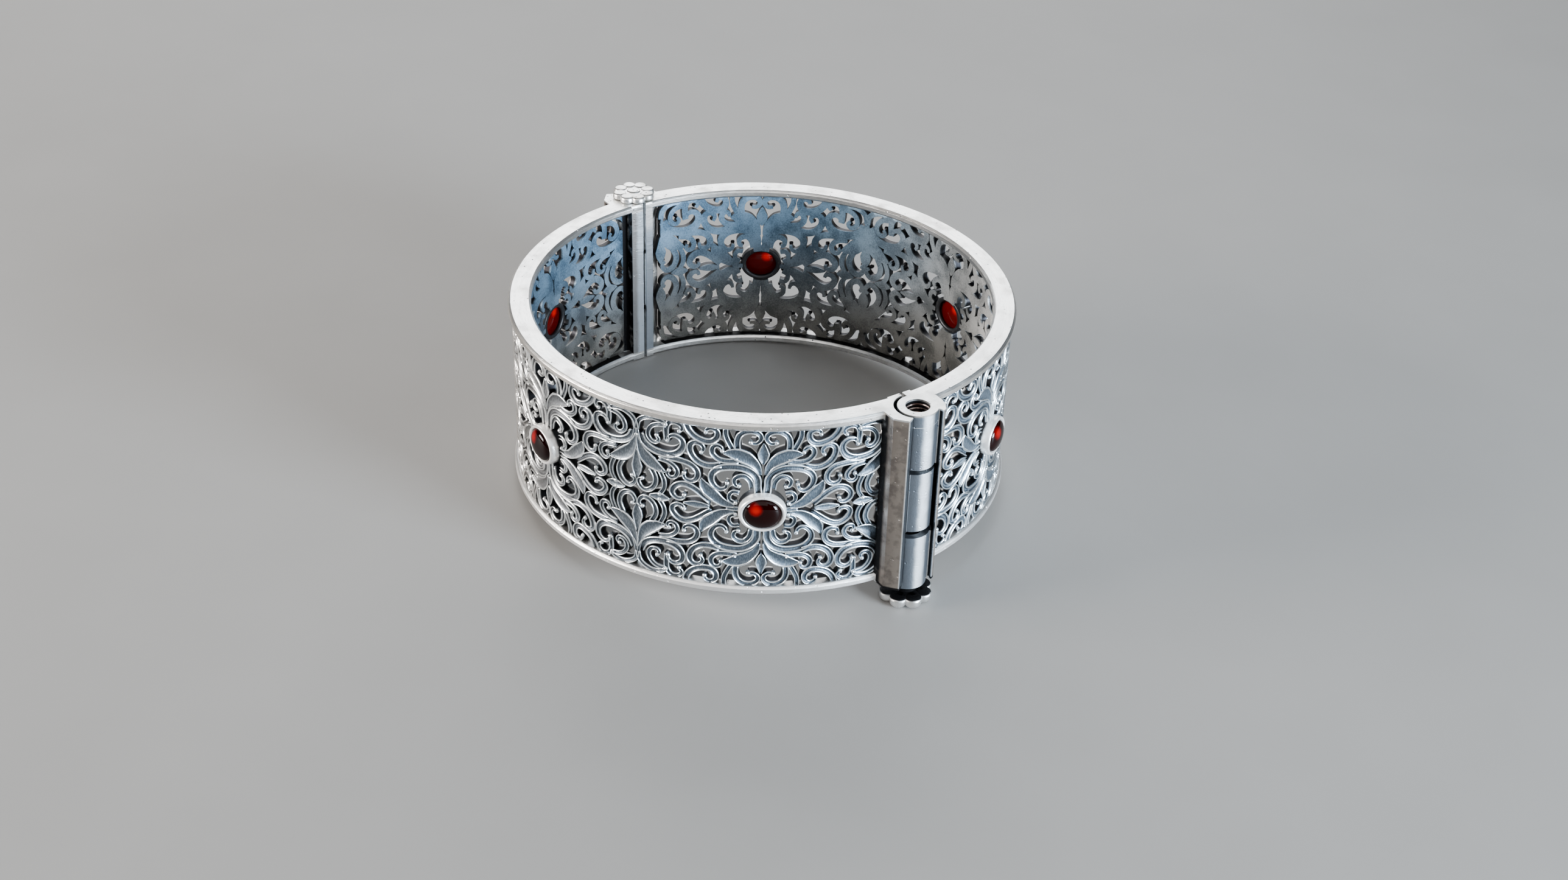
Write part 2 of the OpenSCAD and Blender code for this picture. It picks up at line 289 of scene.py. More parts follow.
def rims_wear_and_light(made, at):
    """The top rim browner outside and dirty along its lower edge, greyed on top by worn paths and painted
    shade toward the clasp and the back, and the bottom rim's outer face painted near white for light.
    """
    outer_side = at.radius.band(OUTER_R - 0.4, OUTER_R) * (1 - at.bars)
    top_side = outer_side * at.z.band(RING_TOP - 2, RING_TOP - 1.5) * at.sides
    made.film(top_side * 0.4, TOP_RIM_TONE)
    dirt = top_side * (1 - at.z.band(RING_TOP - 1.0, RING_TOP - 0.55)) * made.noise(1.8, 3.0).band(0.55, 0.62)
    made.film(dirt, DIRT_TONE, 0.2)
    # Painted light: the bottom rim's outer face lightened to near white
    lit_low_side = outer_side * (1 - at.z.band(RING_LOW + 1.2, RING_LOW + 1.6))
    made.film(lit_low_side * 0.8, LOW_RIM_LIGHT, 0.12)
    top_face = at.z.band(RING_TOP - 0.1, RING_TOP - 0.02)
    worn_paths = made.noise(2.2, 2.0, made.round_ring(0.06, 1.0)).band(0.42, 0.66)
    # Painted shade: the top face greyed toward the clasp and the back, with real worn paths
    worn_and_shaded = at.x.band(12, 31) * 0.35 + at.x.band(29, 33) * 0.2 + at.y.band(5, 30) * 0.15 + worn_paths * 0.25
    made.film(top_face * worn_and_shaded, TOP_FACE_TONE)


def inner_faces_light(made, at, half):
    """The bars' inner faces in bluish painted light and shade, the front half's painted lighter near the
    seam. The back half's keep their upper end.
    """
    bar = BARS[half]
    face = at.between_rims * (1 - at.radius.band(INNER_R + 0.12, INNER_R + 0.2))
    narrowed = face * (1 - at.beside.band(bar.inner_side, bar.inner_side + 0.1))
    upper_end = at.z.band(RING_TOP - 5, RING_TOP - 3) if half == "back" else 0.0
    # Painted light and shade: bluish tones, the front half's lighter near the seam
    tone = made.mix(at.across.band(0.9, 1.5), bar.near_tone, bar.far_tone)
    made.film(narrowed * (1 - upper_end) * 0.9, tone)


def shade_and_soot_beside_bars(at, bar):
    """Where the corners between a bar and its panel are painted black for shade, with some soot, outside and
    inside.
    """
    outer_corner = at.across.band(bar.outer_side - 0.2, bar.outer_side - 0.02) * at.bars * at.sides
    inner_corner = at.across.band(bar.inner_side - 0.1, bar.inner_side) * at.between_rims
    return (outer_corner * (1 - at.radius.band(OUTER_R + 0.5, OUTER_R + 1.2))
            + inner_corner * at.radius.band(INNER_R + 0.02, INNER_R + 0.2)
            * (1 - at.radius.band(INNER_R + 1.4, INNER_R + 1.6)))


def joint_wear_and_light(made, at, bar, joint, reflected_bar_tone):
    """The bars' outer faces and the knuckles at one joint: a painted brown table reflection and painted shade
    on the bars, and a painted highlight down the knuckles. Gives back where painted shade, with some soot,
    blackens the gaps, the screw hole and the bars' feet.
    """
    beyond = (at.x - joint.screw) * joint.outwards
    reach = from_axis(beyond, at.y)
    outer_bar = beyond.band(-0.9, -0.3) * reach.band(joint.hollow_r - 0.1, joint.hollow_r + 0.1)
    below_crest = 1 - beyond.band(bar.crest - 0.04, bar.crest)
    # Painted shade on the bar's face between its corner and the seam, beside the knuckles
    shaded_lip = 1 - at.beside.band(bar.corner - 0.06, bar.corner)
    made.film(outer_bar * below_crest * at.sides * 0.95, made.mix(shaded_lip, reflected_bar_tone, LIP_SHADE), 0.1)
    below_top = 1 - at.z.band(RING_TOP - 0.3, RING_TOP - 0.1)
    knuckle = (1 - reach.band(joint.knuckle_r + 0.05, joint.knuckle_r + 0.15)) * below_top
    # Painted highlight down the middle of each knuckle, and painted dark bluish shade round it
    made.film(knuckle * 0.9, made.mix(at.across.band(0.3, 1.05), KNUCKLE_HIGHLIGHT, KNUCKLE_SHADE), 0.12)
    line = RING_TOP - SOLDER_DEPTH
    solder = at.z.band(line - 0.07, line - 0.03) - at.z.band(line + 0.03, line + 0.07)
    made.film(knuckle * solder * 0.5, SOLDER_TONE)
    hollow = (reach.band(joint.knuckle_r + 0.1, joint.knuckle_r + 0.25)
              - reach.band(joint.hollow_r + 0.04, joint.hollow_r + 0.1))
    hole = 1 - reach.band(SCREW_HOLE_R + 0.05, SCREW_HOLE_R + 0.12)
    foot = 1 - at.z.band(RING_LOW + 0.25, RING_LOW + 0.45)
    return outer_bar * foot + (hollow + hole) * at.sides


def frame_silver(name, half):
    """Worn silver, with a tone of its own for each region of a frame, partly painted light and shade, and
    painted shade with some soot in its corners and gaps.
    """
    made = worn_silver(name)
    at = FramePlace(made)
    rims_wear_and_light(made, at)
    inner_faces_light(made, at, half)
    # Stains by noise; the band toward the bar's outer side is painted shade beside the panel
    stains_and_shade = made.noise(0.9, 4.0).band(0.44, 0.66) * 0.6 + at.across.band(3.2, 4.2) * 0.4
    reflected_bar_tone = made.mix(stains_and_shade, BAR_REFLECTED_BROWN, STAIN_AND_SHADE_TONE)
    shade_and_soot = shade_and_soot_beside_bars(at, BARS[half])
    for joint in JOINTS:
        shade_and_soot = shade_and_soot + joint_wear_and_light(made, at, BARS[half], joint, reflected_bar_tone)
    # Painted shade, with some soot: the corners, gaps, screw holes and bars' feet are blackened
    made.film(shade_and_soot, SHADE_AND_SOOT, 0.3)
    return made


for half in BARS:
    half_frame = filed(f"{half}_frame", f"{half}_rims_and_bars")
    dress(half_frame, frame_silver(f"{half}_frame_silver", half))
    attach(half_frame, f"{half}_half")

# The pierced panels, cast in silver and let in between the rims: grooved bands that end in curls, with
# satin leaves and buds, the same quarter four times round each stone, and open between them. The casting
# is blackened, its flanks black also as painted shade in the piercings, and its ridges and leaves are
# polished clear again.
PANEL_R = -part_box("front_openwork")[0].y
PANEL_T = 1.3 * MM

# The quarter's length as it is charted, and the turn that it takes up on the ring; half the height that the
# panel is trimmed to; and how far beside the seam it ends
QUARTER_L = 15.25
QUARTER_TURN = radians(27.5)
HALF_H = 11.12
BAR_FOOT = {"front": 2.95 * MM, "back": 2.15 * MM}
CURVE_STEPS = 3

# Sections from one foot to the other: across in widths, height in millimetres over the panel's back, and
# how clear it is polished. A band is a channel between two round edges, and a leaf is a shallow tray.
# The flanks' polish of 0.02 leaves them near black: blackened casting, and painted shade round the piercings
BAND_SECTION = ((-0.66, 0, 0.02), (-0.57, 0.98, 0.02), (-0.53, 1.14, 0.75), (-0.44, 1.28, 1),
                (-0.34, 1.19, 0.85), (-0.27, 1.03, 0.1), (0, 0.95, 0.32), (0.27, 1.03, 0.1),
                (0.34, 1.19, 0.85), (0.44, 1.28, 1), (0.53, 1.14, 0.75), (0.57, 0.98, 0.02), (0.66, 0, 0.02))
LEAF_SECTION = ((-0.6, 0, 0.02), (-0.55, 1.02, 0.02), (-0.52, 1.18, 0.8), (-0.46, 1.28, 1), (-0.4, 1.2, 0.9),
                (-0.36, 1.11, 0.26), (0, 1.07, 0.33), (0.36, 1.11, 0.26), (0.4, 1.2, 0.9), (0.46, 1.28, 1),
                (0.52, 1.18, 0.8), (0.55, 1.02, 0.02), (0.6, 0, 0.02))

# The bead at a band's curled tip: its radius, half its height, its middle over the panel's back, and the
# height that it is black up to
BEAD_R = 0.31
BEAD_HALF_H = 0.42
BEAD_UP = 0.92
BEAD_BLACK = 0.8

# The quarter's bands: width at the root, width at the curled tip, and the middle line, in millimetres
# from the stone along the ring and up
BANDS = (
    (0.92, 0.32, ((0.5, 2.3), (0.62, 3.3), (0.68, 4.3), (1.3, 5.2), (2.4, 5.75), (3.7, 5.8), (5.0, 5.5),
                  (5.85, 4.7), (6.0, 3.8), (5.6, 3.0), (4.9, 2.6), (4.3, 2.9), (4.15, 3.5))),
    (0.62, 0.36, ((1.25, 2.9), (1.45, 3.9), (2.05, 4.6), (2.75, 4.6), (3.3, 4.1), (3.2, 3.4), (2.75, 3.2))),
    (0.72, 0.32, ((3.0, 8.4), (3.05, 9.4), (2.75, 10.3), (2.0, 10.85), (1.1, 10.9), (0.45, 10.45),
                  (0.35, 9.8), (0.85, 9.3), (1.5, 9.35))),
    (0.6, 0.52, ((3.55, 8.3), (4.15, 9.5), (4.4, 10.4), (4.35, 11.4))),
    (0.8, 0.35, ((9.1, 11.4), (8.75, 10.35), (7.95, 9.5), (6.8, 9.05), (5.9, 9.15), (5.35, 9.8),
                 (5.4, 10.6), (6.0, 10.95), (6.55, 10.7), (6.7, 10.25))),
    (0.66, 0.32, ((2.9, 6.75), (4.2, 6.62), (5.2, 6.8), (5.9, 7.5), (5.85, 8.3), (5.35, 8.65),
                  (4.85, 8.4), (4.75, 7.9))),
    (0.78, 0.35, ((4.9, 6.0), (6.2, 5.7), (7.25, 5.9), (8.1, 6.55), (8.55, 7.5), (8.45, 8.3),
                  (7.9, 8.7), (7.25, 8.55), (6.92, 8.0), (7.2, 7.4))),
    (0.92, 0.32, ((14.8, 8.3), (14.3, 7.3), (13.3, 6.6), (12.0, 6.3), (10.8, 6.4), (9.9, 6.9),
                  (9.4, 7.8), (9.55, 8.7), (10.3, 9.15), (11.0, 8.9), (11.3, 8.2))),
    (0.66, 0.36, ((11.35, 8.1), (11.45, 9.2), (11.4, 10.1), (11.0, 10.8), (10.3, 11.0), (9.65, 10.7),
                  (9.5, 10.2), (9.85, 9.8))),
    (0.56, 0.36, ((11.5, 10.3), (12.6, 10.15), (13.3, 9.7), (13.7, 9.0), (13.7, 8.3), (13.3, 7.75),
                  (12.7, 7.65), (12.35, 8.1), (12.65, 8.6))),
    (0.6, 0.5, ((15.2, 8.8), (15.0, 9.9), (14.3, 10.6), (13.2, 10.95), (12.0, 10.75), (11.5, 10.35))),
    (0.56, 0.5, ((12.25, 3.8), (11.8, 2.8), (11.65, 2.0), (11.8, 1.2), (12.3, 0.4))),
    (0.66, 0.35, ((13.35, 3.8), (12.85, 2.8), (12.8, 2.0), (13.1, 1.2), (13.7, 0.65), (14.4, 0.6),
                  (14.9, 1.1), (15.0, 1.7), (14.55, 2.0))),
    (0.78, 0.35, ((6.0, 0.6), (7.2, 1.6), (8.1, 2.25), (9.1, 2.6), (10.0, 2.35), (10.65, 1.6),
                  (10.65, 0.9), (10.1, 0.45), (9.45, 0.5), (9.25, 1.0))),
    (0.5, 0.42, ((2.7, 2.3), (3.4, 2.4), (3.85, 1.9), (3.8, 1.2), (3.1, 0.8))),
    (0.72, 0.32, ((11.4, 5.9), (9.8, 5.85), (8.6, 5.6), (7.85, 5.0), (7.6, 4.2), (7.85, 3.5),
                  (8.5, 3.2), (9.15, 3.5), (9.25, 4.15))),
    (0.56, 0.32, ((12.4, 5.5), (11.2, 5.3), (10.4, 4.8), (10.05, 4.1), (10.3, 3.4), (10.9, 3.2),
                  (11.3, 3.6), (11.1, 4.1))),
)

# The quarter's leaves: widths from base to tip, and the middle line
LEAVES = (
    ((0.3, 0.85, 1.3, 1.75, 1.7, 1.05, 0.12), ((0.3, 4.9), (0.65, 5.9), (1.2, 6.6), (2.0, 7.2), (3.0, 7.6),
                                               (3.9, 7.75), (4.6, 7.7))),
    ((0.2, 0.55, 1.0, 1.65, 1.75, 1.2, 0.12), ((15.1, 8.9), (14.95, 7.4), (14.7, 6.3), (14.2, 5.4),
                                               (13.4, 4.65), (12.5, 4.15), (11.5, 3.8))),
    ((0.4, 1.1, 1.5, 1.7, 1.2, 0.12), ((3.3, 0.35), (4.6, 0.75), (5.5, 1.4), (6.25, 2.1), (6.85, 2.9),
                                       (7.15, 3.8))),
)

# Buds and stems on the lines that the quarters share: (widths, middle line) along up, and along the ring
UPRIGHT_BUDS = (
    ((0.12, 1.1, 1.4, 0.9, 0.12), ((0, 6.4), (0, 7.1), (0, 7.8), (0, 8.5), (0, 9.3))),
)
OUTER_BUDS = (
    ((0.12, 1.1, 1.4, 0.9, 0.12), ((15.25, 1.8), (15.25, 2.8), (15.25, 3.6), (15.25, 4.6), (15.25, 6.0))),
)
LEVEL_BUDS = (
    ((0.3, 0.8, 0.85, 0.6, 0.12), ((6.2, 0), (7.1, 0), (7.9, 0), (8.6, 0), (9.3, 0))),
    ((0.12, 0.9, 1.2, 0.8, 0.12), ((11.0, 0), (11.7, 0), (12.3, 0), (12.9, 0), (13.6, 0))),
    ((0.5, 0.6, 0.3), ((2.7, 0), (3.4, 0), (4.2, 0))),
)


def flowing(points):
    """A smooth line through charted points, with handles of a sixth of the way between neighbours."""
    spots = [Vector((x, y, 0)) for x, y in points]
    line = []
    for i in range(len(spots) - 1):
        here, there = spots[i], spots[i + 1]
        before, after = spots[max(i - 1, 0)], spots[min(i + 2, len(spots) - 1)]
        leaving, arriving = here + (there - before) / 6, there - (after - here) / 6
        line += interpolate_bezier(here, leaving, arriving, there, CURVE_STEPS + 1)[:-1]
    return line + [spots[-1]]


def edges_in(parts):
    """The edges in what an operator gives back."""
    return [part for part in parts if isinstance(part, bmesh.types.BMEdge)]


def pulled(mesh, edges):
    """Draws a new wall out of an outline, and gives back its far edges and corners, still in place."""
    grown = bmesh.ops.extrude_edge_only(mesh, edges=edges)["geom"]
    return edges_in(grown), [part for part in grown if isinstance(part, bmesh.types.BMVert)]


def draw_out(mesh, section, widths, points):
    """Draws a section out along a charted line, scaled to each width in turn, with closed ends."""
    polish = mesh.verts.layers.float["polish"]
    line = flowing(points)
    last = len(line) - 1
    rings = []
    for i, spot in enumerate(line):
        ahead = line[min(i + 1, last)] - line[max(i - 1, 0)]
        share = i / last * (len(widths) - 1)
        k = min(int(share), len(widths) - 2)
        width = widths[k] + (widths[k + 1] - widths[k]) * (share - k)
        rings.append(Matrix.Translation(spot) @ Matrix.Rotation(atan2(ahead.y, ahead.x), 4, "Z")
                     @ Matrix.Diagonal((1, width, 1, 1)))
    corners = [mesh.verts.new(rings[0] @ Vector((0, across, height))) for across, height, _ in section]
    for corner, (_, _, clear) in zip(corners, section):
        corner[polish] = clear
    edges = list(mesh.faces.new(corners).edges)
    for before, here in zip(rings, rings[1:]):
        edges, corners = pulled(mesh, edges)
        bmesh.ops.transform(mesh, matrix=here @ before.inverted(), verts=corners)
    bmesh.ops.contextual_create(mesh, geom=edges)


def tip_bead(mesh, spot):
    """The small bead at a band's curled tip, clear on its top and blackened lower down."""
    polish = mesh.verts.layers.float["polish"]
    bead = bmesh.ops.create_uvsphere(
        mesh, u_segments=10, v_segments=6, radius=1,
        matrix=Matrix.Translation((*spot, BEAD_UP)) @ Matrix.Diagonal((BEAD_R, BEAD_R, BEAD_HALF_H, 1)))
    for corner in bead["verts"]:
        corner[polish] = (corner.co.z - BEAD_BLACK) * 2.5


def charted(bands, leaves):
    """A flat mesh of bands and leaves, in the chart's millimetres, with sharp edges at its back only."""
    mesh = bmesh.new()
    mesh.verts.layers.float.new("polish")
    for root, tip, points in bands:
        draw_out(mesh, BAND_SECTION, (root, root, tip), points)
        tip_bead(mesh, points[-1])
    for widths, points in leaves:
        draw_out(mesh, LEAF_SECTION, widths, points)
    bmesh.ops.recalc_face_normals(mesh, faces=mesh.faces)
    for edge in mesh.edges:
        edge.smooth = any(corner.co.z > 0.01 for corner in edge.verts)
    data = bpy.data.meshes.new("chart")
    mesh.to_mesh(data)
    mesh.free()
    return data


def stone_turn(number):
    """A stone's place round the ring, as an angle from the clasp."""
    low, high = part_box(f"setting_{number}")
    middle = (low + high) / 2
    return atan2(middle.y, middle.x)


def lay_on_wall(mesh, chart, turn, along, up, level):
    """Adds a copy of a flat mesh, bent round the ring from a stone's place; negative scales mirror it."""
    first, first_face = len(mesh.verts), len(mesh.faces)
    mesh.from_mesh(chart)
    mesh.verts.ensure_lookup_table()
    mesh.faces.ensure_lookup_table()
    for corner in mesh.verts[first:]:
        angle = turn + along * corner.co.x * QUARTER_TURN / QUARTER_L
        reach = PANEL_R - PANEL_T + corner.co.z * MM
        corner.co = (reach * cos(angle), reach * sin(angle), level + up * corner.co.y * MM)
    if along * up < 0:
        bmesh.ops.reverse_faces(mesh, faces=mesh.faces[first_face:])


def pierced_panel(name, numbers, side, foot):
    """One half's panel: the quarters round each stone, trimmed to the rims and the end bars."""
    level = (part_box(f"{name}_frame")[0].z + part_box(f"{name}_frame")[1].z) / 2
    turns = sorted(stone_turn(number) for number in numbers)
    mesh = bmesh.new()
    for i, turn in enumerate(turns):
        for way in (-1, 1):
            beside = i + way
            inner = 0 <= beside < len(turns)
            along = way * (abs(turns[beside] - turn) / 2 / QUARTER_TURN if inner else 1)
            for up in (-1, 1):
                lay_on_wall(mesh, quarter, turn, along, up, level)
                if not inner or way > 0:
                    lay_on_wall(mesh, outer_buds, turn, along, up, level)
            lay_on_wall(mesh, level_buds, turn, along, 1, level)
        for up in (-1, 1):
            lay_on_wall(mesh, upright_buds, turn, 1, up, level)
    cuts = (((0, 0, level + HALF_H * MM), (0, 0, 1)), ((0, 0, level - HALF_H * MM), (0, 0, -1)),
            ((0, side * foot, 0), (0, -side, 0)))
    for spot, away in cuts:
        cut = bmesh.ops.bisect_plane(mesh, geom=[*mesh.verts, *mesh.edges, *mesh.faces], plane_co=spot,
                                     plane_no=away, clear_outer=True)["geom_cut"]
        bmesh.ops.holes_fill(mesh, edges=edges_in(cut))
    return cast_piece(f"{name}_scrollwork", mesh)


# Near black, for the blackened casting and for painted shade on the piercings' flanks
BLACKENED_AND_SHADED = (0.022, 0.022, 0.025)
# The casting's worn tones at the ring's left and at its right, tinted by painted reflection: warm at the
# left, cool blue at the right
SATIN_TONES_REFLECTION_TINTED = ((0.17, 0.158, 0.148), (0.115, 0.148, 0.185))
BRUSHED_TONES_REFLECTION_TINTED = ((0.42, 0.40, 0.38), (0.34, 0.40, 0.46))
RIDGE_TONES_REFLECTION_TINTED = ((0.97, 0.94, 0.91), (0.87, 0.94, 0.99))

# The smooth back's darker and lighter blotches: their tones low down, above, above at the left and at the
# far right, and where the far right's starts
# The tones by place are painted light and shade: darker low down, bluish at the left, near white at the far
# right
Blotch = namedtuple("Blotch", "low above left right right_from")
DARK_BLOTCH = Blotch((0.11, 0.108, 0.10), (0.12, 0.13, 0.135), (0.055, 0.095, 0.14), (0.75, 0.74, 0.72), 4)
LIGHT_BLOTCH = Blotch((0.25, 0.24, 0.22), (0.30, 0.31, 0.31), (0.18, 0.28, 0.38), (0.97, 0.96, 0.94), 2)


def back_tone_painted_light(made, x, z, blotch):
    """One tone of a panel's back, with painted light and shade: darker low down, bluish at the left and white
    at the far right.
    """
    above = made.mix(1 - x.band(-20, 4), blotch.above, blotch.left)
    tone = made.mix(z.band(5, 24), blotch.low, above)
    return made.mix(x.band(blotch.right_from, blotch.right_from + 16), tone, blotch.right)


def antiqued_silver(name):
    """Blackened cast silver, polished clear again on its ridges and satin on its leaves and its back."""
    made = Finish(name, Metallic=1.0)
    x, y, z = (made.place.part(axis) for axis in "XYZ")
    polish = made.node("ShaderNodeAttribute", {"attribute_name": "polish"}, {}, "Fac")
    clouds = made.noise(0.4, 3.0)
    grain = made.noise(5.0, 3.0)
    brushed = made.noise(8.0, 2.0, made.round_ring(1.0, 0.3))
    clear = polish + (clouds - 0.5) * 0.25 + (grain - 0.5) * 0.12
    ridges = clear.band(0.45, 0.8)
    # Painted reflection: warm at the ring's left, cool blue at its right
    warm_to_cool_reflection = x.band(-22, 30)
    satin, brushed_tone, ridge_tone = (
        made.mix(warm_to_cool_reflection, *tones) for tones in (SATIN_TONES_REFLECTION_TINTED, BRUSHED_TONES_REFLECTION_TINTED, RIDGE_TONES_REFLECTION_TINTED))
    metal = made.mix(brushed.band(0.4, 0.72) * 0.55, satin, brushed_tone)
    metal = made.mix(clear.band(0.04, 0.3), BLACKENED_AND_SHADED, metal)
    metal = made.mix(ridges, metal, ridge_tone)
    outer = PANEL_R / MM
    back = 1 - from_axis(x, y).band(outer - 1.25, outer - 0.95)
    blotches = (made.noise(0.25, 2.0) * 0.4 + clouds * 0.3 + grain * 0.3).band(0.38, 0.62)
    back_metal = made.mix(
        blotches, back_tone_painted_light(made, x, z, DARK_BLOTCH), back_tone_painted_light(made, x, z, LIGHT_BLOTCH))
    made.wire("Base Color", made.mix(back, metal, back_metal))
    made.wire("Roughness", 0.42 - ridges * 0.18 + grain * 0.1 + back * 0.16)
    made.bump(grain * 0.5 + brushed * 0.6, 0.02)
    return made


quarter = charted(BANDS, LEAVES)
upright_buds = charted((), UPRIGHT_BUDS)
outer_buds = charted((), OUTER_BUDS)
level_buds = charted((), LEVEL_BUDS)
scroll_silver = antiqued_silver("scroll_silver")
HALF_STONES = {"front": (1, 2, 3), "back": (4, 5, 6)}
for half, side in (("front", -1), ("back", 1)):
    panel = pierced_panel(half, HALF_STONES[half], side, BAR_FOOT[half])
    dress(panel, scroll_silver)
    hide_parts(f"{half}_openwork")
    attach(panel, f"{half}_half")
for chart in (quarter, upright_buds, outer_buds, level_buds):
    bpy.data.meshes.remove(chart)

# The settings: plain oval bezels of silver strip, soldered into the panel, open at the back and standing
# high over the scrollwork. The edge is rubbed over the stone and worn white, painted white further down
# the wall for the light it catches, and painted shade darkens the foot.
SETTING_L = 5.8
SETTING_W = 5.0
OVAL_CORNERS = 64
# What lies in from the oval's ends by a step lies in from its long sides by this share of the step
SIDE_SHARE = 0.72

# The strip's section: out under its foot, up, over the rubbed edge, down inside and under the ledge. Each
# row is how far in from the setting's ends, and the height over the panel's back
BEZEL_STEPS = ((0.75, 0.02), (0.12, 0), (0.04, 0.05), (0.01, 0.4), (0.01, 1.6), (0.03, 1.9), (0.09, 2.12),
               (0.19, 2.26), (0.3, 2.29), (0.42, 2.26), (0.53, 2.18), (0.61, 2.05), (0.63, 1.9), (0.63, 0.5),
               (0.75, 0.46), (0.75, 0.02))


def at_stone(number, low):
    """The place of a stone: X along the ring, Y up, Z outwards from a radius."""
    level = (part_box(f"setting_{number}")[0].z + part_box(f"setting_{number}")[1].z) / 2
    return (Matrix.Rotation(stone_turn(number), 4, "Z") @ Matrix.Translation((low, 0, level))
            @ Matrix.Rotation(pi / 2, 4, "X") @ Matrix.Rotation(pi / 2, 4, "Y"))


def oval_shell(mesh, steps):
    """Raises an oval wall through a section's steps, and gives back its last edges."""
    bmesh.ops.create_circle(mesh, segments=OVAL_CORNERS, radius=1)
    corners, edges = list(mesh.verts), list(mesh.edges)
    before = Matrix.Identity(4)
    for i, (inset, height) in enumerate(steps):
        here = (Matrix.Translation((0, 0, height))
                @ Matrix.Diagonal((SETTING_L / 2 - inset, SETTING_W / 2 - inset * SIDE_SHARE, 1, 1)))
        if i:
            edges, corners = pulled(mesh, edges)
        bmesh.ops.transform(mesh, matrix=here @ before.inverted(), verts=corners)
        before = here
    return edges


def set_on_ring(mesh, number):
    """Puts a mesh at its stone's place, and keeps where each corner was in the setting, for its finish."""
    seat = mesh.verts.layers.float_vector.new("seat")
    for corner in mesh.verts:
        corner[seat] = corner.co
    bmesh.ops.recalc_face_normals(mesh, faces=mesh.faces)
    mesh.transform(at_stone(number, PANEL_R - PANEL_T) @ Matrix.Scale(MM, 4))


FOOT_SHADE = (0.03, 0.031, 0.034)
WORN_AND_LIT_WHITE = (0.97, 0.96, 0.94)
NICK_TONE = (0.2, 0.19, 0.18)


def rubbed_and_lit_silver(name):
    """Smooth soft silver, white where the edge is rubbed over the stone and painted white for light down the
    upper wall, with painted dark shade round the foot.
    """
    made = Finish(name, Metallic=0.7)
    seat = made.node("ShaderNodeAttribute", {"attribute_name": "seat"}, {}, "Vector")
    grain = made.noise(4.0, 3.0)
    dents = made.noise(1.1, 2.0)
    height = seat.part("Z") + (dents - 0.5) * 0.25
    # Painted light and shade: the upper wall white, the foot near black
    clean_and_lit = height.band(1.05, 1.4)
    nicks = made.noise(2.0, 1.0, made.stretched((4.0, 4.0, 0.6))).band(0.70, 0.74) * 0.7
    metal = made.mix(clean_and_lit, FOOT_SHADE, WORN_AND_LIT_WHITE)
    made.wire("Base Color", made.mix(nicks, metal, NICK_TONE))
    made.wire("Roughness", 0.38 - clean_and_lit * 0.08 + grain * 0.06)
    made.bump(grain * 0.3 + dents * 1.2, 0.04)
    return made


bezel_silver = rubbed_and_lit_silver("bezel_silver")
for number in range(1, 7):
    mesh = bmesh.new()
    oval_shell(mesh, BEZEL_STEPS)
    bmesh.ops.remove_doubles(mesh, verts=mesh.verts, dist=0.005)
    set_on_ring(mesh, number)
    bezel = cast_piece(f"bezel_{number}", mesh)
    dress(bezel, bezel_silver)
    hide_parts(f"setting_{number}")
    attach(bezel, "front_half" if number < 4 else "back_half")

# The stones: ovals of clear deep red, cut domed and polished all over, held by the bezel's edge on its
# inner ledge. A bright red glow is painted into each dome as a patch, where light that enters on the
# other side would gather. The steps of a stone's girdle are counted as the bezel's are.
STONE_STEPS = ((0.72, 0.57), (0.66, 0.63), (0.64, 2.02))
DOME_H = 0.86
DOME_RINGS = 9
DOME_TIP = 0.012


def domed_stone(mesh):
    """A stone's girdle with its dome over it and its flat back closed."""
    rim = oval_shell(mesh, STONE_STEPS)
    for i in range(1, DOME_RINGS):
        lean, was = pi / 2 * i / DOME_RINGS, pi / 2 * (i - 1) / DOME_RINGS
        rim, corners = pulled(mesh, rim)
        shrink = cos(lean) / cos(was)
        bmesh.ops.scale(mesh, vec=(shrink, shrink, 1), verts=corners)
        bmesh.ops.translate(mesh, vec=(0, 0, DOME_H * (sin(lean) - sin(was))), verts=corners)
    crown = bmesh.ops.contextual_create(mesh, geom=rim)["faces"]
    bmesh.ops.poke(mesh, faces=crown, offset=DOME_TIP)
    bmesh.ops.holes_fill(mesh, edges=[edge for edge in mesh.edges if edge.is_boundary])


# Where the lit patch's middle lies in a stone, along the ring and up, and how far it fades out round it
PATCH_ALONG = -0.8
PATCH_UP = 0.95
PATCH_FADE = (0.25, 1.15)
UNLIT_RED = (0.004, 0.0, 0.0)
LIT_RED = (0.28, 0.0, 0.0)
UNLIT_GLOW = (0.002, 0.0, 0.0)
LIT_GLOW = (1.0, 0.0, 0.0)


def red_stone(name):
    """Clear deep red, nearly black round its edge, with a painted glowing patch inside."""
    made = Finish(name, Roughness=0.03, IOR=1.45, Specular_IOR_Level=0.22, Emission_Strength=0.4)
    seat = made.node("ShaderNodeAttribute", {"attribute_name": "seat"}, {}, "Vector")
    along, up, out = (seat.part(axis) for axis in "XYZ")
    veil = made.noise(0.9, 2.0)
    # Painted glow: a fixed red patch in each stone
    patch = 1 - (from_axis(along - PATCH_ALONG, up - PATCH_UP) + veil * 0.3).band(*PATCH_FADE)
    lit = patch * 0.3 + (1 - out.band(0.6, 1.2)) * 0.22
    made.wire("Base Color", made.mix(lit, UNLIT_RED, LIT_RED))
    made.wire("Emission Color", made.mix(patch, UNLIT_GLOW, LIT_GLOW))
    return made


garnet = red_stone("garnet")
for number in range(1, 7):
    mesh = bmesh.new()
    domed_stone(mesh)
    set_on_ring(mesh, number)
    stone = cast_piece(f"garnet_{number}", mesh)
    dress(stone, garnet)
    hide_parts(f"stone_{number}")
    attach(stone, "front_half" if number < 4 else "back_half")

